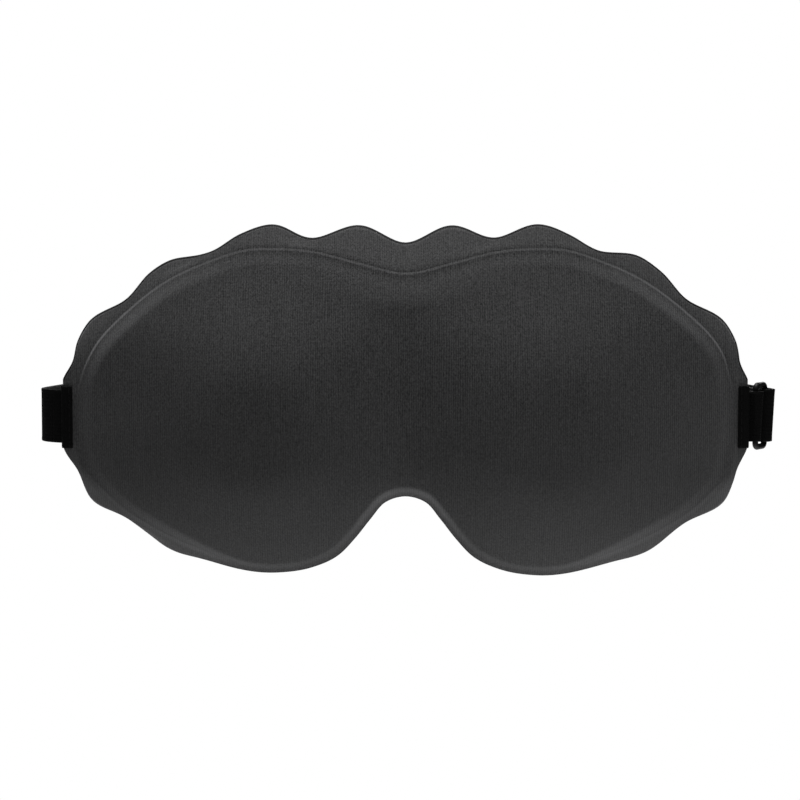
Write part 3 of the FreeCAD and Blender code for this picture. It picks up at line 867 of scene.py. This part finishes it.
STUB = 4.0                   # the sewn piece reaches this far past the ear
left_ear = sewn_line() * (-1, 1)
bend, _ = travelled((-TWIST_X, left_ear[-1][1]), 180 - EAR_HEADING,
                    [(EAR_BEND, -(SIDE_HEADING - EAR_HEADING))], 0.5)
cut = int(np.argmin(np.abs(distances(bend) - STUB)))
strap_end = webbing("strap_sewn_end", np.vstack([left_ear, bend[1:cut + 1]]), STRAP_WIDTH, STRAP,
                    elastic_black, on_ear=True)
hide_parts("left_strap_end")
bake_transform(strap_end)

side_end = SIDE + heading(SIDE_HEADING) * STRAIGHT
after = SIDE_HEADING + TEMPLE_TURN
after_sine = math.sin(math.radians(after))
temple_x = side_end[0] + TEMPLE_BEND * (after_sine - math.sin(math.radians(SIDE_HEADING)))
back_bend = temple_x / after_sine
rest_of_way, _ = travelled(bend[-1], 180 - SIDE_HEADING, [
    (STRAIGHT - EAR_RUN,), (TEMPLE_BEND, -TEMPLE_TURN), (back_bend, -2 * (180 - after)),
    (TEMPLE_BEND, -TEMPLE_TURN), (STRAIGHT,)])
fold, _ = travelled(rest_of_way[-1], SIDE_HEADING + 180, [(FOLD_BEND, -180)], 0.5)
whole = np.vstack([bend[cut:], rest_of_way[1:], fold[1:]])
strap = webbing("head_strap", whole, STRAP_WIDTH, STRAP, elastic_black, on_ear=True)
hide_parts("strap")
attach(strap, "strap")


# ---- Ring tab -------------------------------------------------------------
# A short piece of black tape on the right ear. It comes out from behind the
# ear, goes round the ring's inner bar and is sewn down over itself.

TAB_WIDTH = 17.0
TAB_THICK = 0.95
first = sewn_line()[:-1]
loop = [(117.2, 31.75), (118.6, 31.29), (119.91, 31.83), (120.45, 33.14), (119.91, 34.45),
        (118.6, 34.99), (117.3, 34.7), (116.2, 34.0)]
second = sewn_line(1.02, 115.4, 111.5)[::-1]
tab_line = through(np.vstack([first, loop, second]).tolist(), 3)
tab = webbing("ring_tab_tape", tab_line, TAB_WIDTH, TAB_THICK, tape_black)
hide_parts("right_tab_end", "ring_tab")
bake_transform(tab)


# ---- Ring and slider ------------------------------------------------------
# Both are moulded in black acetal: a rounded rectangular ring, and a three-bar
# slider. Rubbing by the strap has polished their edges.

def build_wear_group():
    """Moulded plastic: fine spark texture, faint flow marks and rubbed edges."""
    tree, enter, leave = open_group("moulded plastic", [("Texture", 2400.0), ("Rubbing", 0.5)],
                                    ["Wear", "Height"])
    at = enter.outputs["Vector"]
    spark = tree.nodes.new("ShaderNodeTexNoise")
    tree.links.new(at, spark.inputs["Vector"])
    tree.links.new(enter.outputs["Texture"], spark.inputs["Scale"])
    flow = noise(tree, stretched(tree, at, (1.0, 1.0, 0.25)), 300.0, 3.0)
    edge = tree.nodes.new("ShaderNodeNewGeometry").outputs["Pointiness"]
    sharp = math_node(tree, "MULTIPLY_ADD", edge, 9.0, -4.6, clamp=True)
    wear = math_node(tree, "MULTIPLY", sharp, enter.outputs["Rubbing"])
    wear = math_node(tree, "MULTIPLY_ADD", flow, 0.25, wear, clamp=True)
    tree.links.new(wear, leave.inputs["Wear"])
    tree.links.new(spark.outputs["Fac"], leave.inputs["Height"])
    return tree


wear_group = build_wear_group()


def moulded_material(name, texture, rubbing, dark, light):
    material, tree, shader = new_material(name)
    wear = placed_group(tree, wear_group, {"Texture": texture, "Rubbing": rubbing})
    tree.links.new(tree.nodes.new("ShaderNodeTexCoord").outputs["Object"], wear.inputs["Vector"])
    tree.links.new(two_tone(tree, wear.outputs["Wear"], dark, light), shader.inputs["Base Color"])
    rough = math_node(tree, "MULTIPLY_ADD", wear.outputs["Wear"], -0.2, 0.5, clamp=True)
    tree.links.new(rough, shader.inputs["Roughness"])
    relief(tree, shader, wear.outputs["Height"], 0.35, 0.00004)
    shader.inputs["Specular IOR Level"].default_value = 0.14
    return material


ring_plastic = moulded_material("black acetal ring", 2400.0, 0.5, (0.0015, 0.0015, 0.0015),
                                (0.005, 0.005, 0.005))
slider_plastic = moulded_material("black acetal slider", 1900.0, 0.7, (0.0026, 0.0026, 0.0026),
                                  (0.010, 0.010, 0.010))
for node, finish in (("ring", ring_plastic), ("slider", slider_plastic)):
    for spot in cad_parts[node].material_slots:
        spot.material = finish


# ---- Strap return ---------------------------------------------------------
# The strap's last stretch, from its fold round the ring back to the slider. Its
# end goes round the slider's middle bar and is bar-tacked to itself.

SLIDER_AT = 38.0
ALONG = heading(SIDE_HEADING)
OUTWARD = heading(SIDE_HEADING - 90)
LAYER = -3.80                # the return lies this far inside the straight side
round_bar = [
    (LAYER, -14.0), (LAYER, -9.0), (LAYER, -5.0), (LAYER, 0.3), (-3.45, 1.25), (-2.55, 1.6),
    (-1.65, 1.25), (-1.32, 0.4), (-1.32, -0.4), (-1.6, -1.25), (-2.15, -1.8), (-2.65, -2.5),
    (-2.78, -3.6), (-2.78, -7.0),
]
fold_end = fold[-1]
back_run = [SIDE + OUTWARD * a + ALONG * (SLIDER_AT + b) for a, b in round_bar]
start_run = [fold_end + (back_run[0] - fold_end) * k for k in (0.0, 0.1, 0.4, 0.75)]
return_line = through(np.vstack([start_run, back_run]).tolist(), 4)
strap_back = webbing("strap_return_end", return_line, STRAP_WIDTH, STRAP, elastic_black)
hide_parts("strap_return", "strap_end_loop")
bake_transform(strap_back)


# ---- Stitching ------------------------------------------------------------
# Black polyester lockstitch: one row down the front of each ear tape, three on
# the face side through the sewn ends, and a bar tack that closes the strap.

THREAD = 0.22


def build_stitch_tree(material):
    """Rows of lockstitches on guide lines, each a short thread bowed outward, in metres."""
    tree = bpy.data.node_groups.new("lockstitch rows", "GeometryNodeTree")
    tree.interface.new_socket("Rows", in_out="INPUT", socket_type="NodeSocketGeometry")
    for label, value in (("Pitch", 0.0024), ("Length", 0.0019), ("Thread", THREAD * 0.001),
                         ("Lift", 0.00022), ("Unevenness", 0.06)):
        socket = tree.interface.new_socket(label, in_out="INPUT", socket_type="NodeSocketFloat")
        socket.default_value = value
    tree.interface.new_socket("Seed", in_out="INPUT", socket_type="NodeSocketInt").default_value = 7
    tree.interface.new_socket("Stitches", in_out="OUTPUT", socket_type="NodeSocketGeometry")
    enter = tree.nodes.new("NodeGroupInput")
    leave = tree.nodes.new("NodeGroupOutput")
    link = tree.links.new
    lines = tree.nodes.new("GeometryNodeMeshToCurve")
    link(enter.outputs["Rows"], lines.inputs["Mesh"])
    spots = tree.nodes.new("GeometryNodeCurveToPoints")
    spots.mode = "LENGTH"
    link(lines.outputs[0], spots.inputs["Curve"])
    link(enter.outputs["Pitch"], spots.inputs["Length"])
    outward = tree.nodes.new("GeometryNodeInputNamedAttribute")
    outward.data_type = "FLOAT_VECTOR"
    outward.inputs["Name"].default_value = "outward"
    face = tree.nodes.new("FunctionNodeAlignRotationToVector")
    face.axis = "Z"
    link(outward.outputs["Attribute"], face.inputs["Vector"])
    lie = tree.nodes.new("FunctionNodeAlignRotationToVector")
    lie.axis = "X"
    lie.pivot_axis = "Z"
    link(face.outputs[0], lie.inputs["Rotation"])
    link(spots.outputs["Tangent"], lie.inputs["Vector"])
    thread = tree.nodes.new("GeometryNodeCurveQuadraticBezier")
    thread.inputs["Resolution"].default_value = 6
    half = math_node(tree, "MULTIPLY", enter.outputs["Length"], 0.5)
    dip = math_node(tree, "MULTIPLY", enter.outputs["Lift"], -0.6)
    for socket, a, b in (("Start", math_node(tree, "MULTIPLY", half, -1.0), dip),
                         ("Middle", None, enter.outputs["Lift"]), ("End", half, dip)):
        point = tree.nodes.new("ShaderNodeCombineXYZ")
        if a is not None:
            link(a, point.inputs["X"])
        link(b, point.inputs["Z"])
        link(point.outputs[0], thread.inputs[socket])
    around = tree.nodes.new("GeometryNodeCurvePrimitiveCircle")
    around.inputs["Resolution"].default_value = 8
    link(enter.outputs["Thread"], around.inputs["Radius"])
    solid = tree.nodes.new("GeometryNodeCurveToMesh")
    solid.inputs["Fill Caps"].default_value = True
    link(thread.outputs[0], solid.inputs["Curve"])
    link(around.outputs[0], solid.inputs["Profile Curve"])
    size = tree.nodes.new("FunctionNodeRandomValue")
    size.data_type = "FLOAT"
    link(math_node(tree, "SUBTRACT", 1.0, enter.outputs["Unevenness"]), size.inputs[2])
    link(math_node(tree, "ADD", 1.0, enter.outputs["Unevenness"]), size.inputs[3])
    link(enter.outputs["Seed"], size.inputs["Seed"])
    place = tree.nodes.new("GeometryNodeInstanceOnPoints")
    link(spots.outputs["Points"], place.inputs["Points"])
    link(solid.outputs[0], place.inputs["Instance"])
    link(lie.outputs[0], place.inputs["Rotation"])
    link(size.outputs[1], place.inputs["Scale"])
    real = tree.nodes.new("GeometryNodeRealizeInstances")
    link(place.outputs[0], real.inputs[0])
    paint = tree.nodes.new("GeometryNodeSetMaterial")
    paint.inputs["Material"].default_value = material
    link(real.outputs[0], paint.inputs["Geometry"])
    link(paint.outputs[0], leave.inputs[0])
    return tree


thread_black, tree, shader = new_material("black polyester thread")
place = tree.nodes.new("ShaderNodeTexCoord").outputs["Object"]
ply = tree.nodes.new("ShaderNodeTexWave")
ply.bands_direction = "DIAGONAL"
ply.inputs["Scale"].default_value = 1500.0
ply.inputs["Distortion"].default_value = 1.0
tree.links.new(place, ply.inputs["Vector"])
tree.links.new(two_tone(tree, ply.outputs["Fac"], (0.0008, 0.0008, 0.0008), (0.0030, 0.0030, 0.0030)),
               shader.inputs["Base Color"])
relief(tree, shader, ply.outputs["Fac"], 0.5, 0.00005)
rough = math_node(tree, "MULTIPLY_ADD", ply.outputs["Fac"], 0.15, 0.62)
tree.links.new(rough, shader.inputs["Roughness"])
shader.inputs["Specular IOR Level"].default_value = 0.06
stitch_tree = build_stitch_tree(thread_black)


def stitched(name, rows, settings, body, node):
    """Stitches along rows of (points, outward), as one plain mesh on one body."""
    points, edges, faces_out = [], [], []
    for line, outward in rows:
        first_point = len(points)
        points += [tuple(np.array(p) * 0.001) for p in line]
        faces_out += [tuple(outward)] * len(line)
        edges += [(first_point + i, first_point + i + 1) for i in range(len(line) - 1)]
    guide = bpy.data.meshes.new(name + "_guide")
    guide.from_pydata(points, edges, [])
    mark = guide.attributes.new("outward", "FLOAT_VECTOR", "POINT")
    for i, way in enumerate(faces_out):
        mark.data[i].vector = way
    obj = bpy.data.objects.new(name, guide)
    bpy.context.collection.objects.link(obj)
    live = obj.modifiers.new("stitches", "NODES")
    live.node_group = stitch_tree
    for item in stitch_tree.interface.items_tree:
        if item.item_type == "SOCKET" and item.in_out == "INPUT" and item.name in settings:
            live[item.identifier] = settings[item.name]
    made = bpy.data.meshes.new_from_object(evaluated(obj))
    obj.modifiers.clear()
    obj.data = made
    made.shade_smooth()
    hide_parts(node)
    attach(obj, body)


def ear_row(side, x, offset, reach, out_y):
    """A row straight up an ear, with the way its threads stand out."""
    tilt = math.atan(2 * SWEEP_X * x / HALF_WIDTH ** 2)
    line = [(side * x, flange_y(x, z) + offset, z) for z in np.linspace(-reach, reach, 7)]
    return line, (side * math.sin(tilt) * -out_y, math.cos(tilt) * out_y, 0.0)


TAPE_FACE = -0.93
behind = BEHIND_EAR + STRAP / 2
for side, name, reach in ((-1, "left", 7.4), (1, "right", 7.0)):
    rows = [ear_row(side, 113.0, TAPE_FACE - 0.05, 8.8, -1.0)]
    for x in (105.5, 109.5):
        rows.append(ear_row(side, x, behind + 0.05, reach, 1.0))
    rows.append(ear_row(side, 113.5, behind + (0.05 if side < 0 else 1.05), reach, 1.0))
    stitched(name + "_ear_stitches", rows, {"Seed": 11 + side}, "mask", name + "_stitching")

tack = []
for s in (SLIDER_AT - 4.6, SLIDER_AT - 3.8, SLIDER_AT - 3.0):
    at = SIDE + OUTWARD * (LAYER - 0.5) + ALONG * s
    line = [(at[0], at[1], z) for z in np.linspace(-7.6, 7.6, 5)]
    tack.append((line, (-OUTWARD[0], -OUTWARD[1], 0.0)))
stitched("strap_bar_tack", tack, {"Pitch": 0.0012, "Length": 0.0013, "Seed": 5}, "slider", "bar_tack")


# ---- Room and light -------------------------------------------------------
# A white background and a pale floor far below, with one big soft light overhead, a small one close
# below on the right, as from white card, and a soft one behind for the face side.

scene = bpy.context.scene
scene.view_settings.view_transform = "Standard"
scene.view_settings.look = "None"

world = bpy.data.worlds.new("studio")
scene.world = world
world.use_nodes = True
sky = world.node_tree
back = sky.nodes["Background"]
back.inputs["Color"].default_value = (1, 1, 1, 1)
back.inputs["Strength"].default_value = 0.035
paper = sky.nodes.new("ShaderNodeBackground")
paper.inputs["Color"].default_value = (1, 1, 1, 1)
paper.inputs["Strength"].default_value = 1.0
rays = sky.nodes.new("ShaderNodeLightPath")
either = sky.nodes.new("ShaderNodeMixShader")
sky.links.new(rays.outputs["Is Camera Ray"], either.inputs["Fac"])
sky.links.new(back.outputs[0], either.inputs[1])
sky.links.new(paper.outputs[0], either.inputs[2])
sky.links.new(either.outputs[0], sky.nodes["World Output"].inputs["Surface"])


def softbox(name, place, size, power):
    data = bpy.data.lights.new(name, "AREA")
    data.shape = "RECTANGLE"
    data.size, data.size_y = size
    data.energy = power
    lamp = bpy.data.objects.new(name, data)
    lamp.location = place
    lamp.rotation_euler = Vector(place).to_track_quat("Z", "Y").to_euler()
    bpy.context.collection.objects.link(lamp)


softbox("overhead", (-0.03, -0.05, 1.2), (1.3, 0.5), 38.0)
softbox("card_below", (0.06, -0.07, -0.27), (0.55, 0.3), 0.9)
softbox("behind", (0.25, 1.15, 0.55), (0.9, 0.9), 16.0)

FLOOR_SIZE = 3000.0
FLOOR_Z = -450.0
corners = [(-1, -1), (1, -1), (1, 1), (-1, 1)]
floor = mesh_from("floor", [(a * FLOOR_SIZE, b * FLOOR_SIZE, FLOOR_Z) for a, b in corners],
                  [(0, 1, 2, 3)], smooth=False)
pale, tree, shader = new_material("pale floor")
shader.inputs["Base Color"].default_value = (0.85, 0.85, 0.85, 1)
shader.inputs["Roughness"].default_value = 0.9
glow = tree.nodes.new("ShaderNodeEmission")
seen = tree.nodes.new("ShaderNodeLightPath")
floor_mix = tree.nodes.new("ShaderNodeMixShader")
tree.links.new(seen.outputs["Is Camera Ray"], floor_mix.inputs["Fac"])
tree.links.new(shader.outputs[0], floor_mix.inputs[1])
tree.links.new(glow.outputs[0], floor_mix.inputs[2])
tree.links.new(floor_mix.outputs[0], tree.nodes["Material Output"].inputs["Surface"])
floor.data.materials.append(pale)
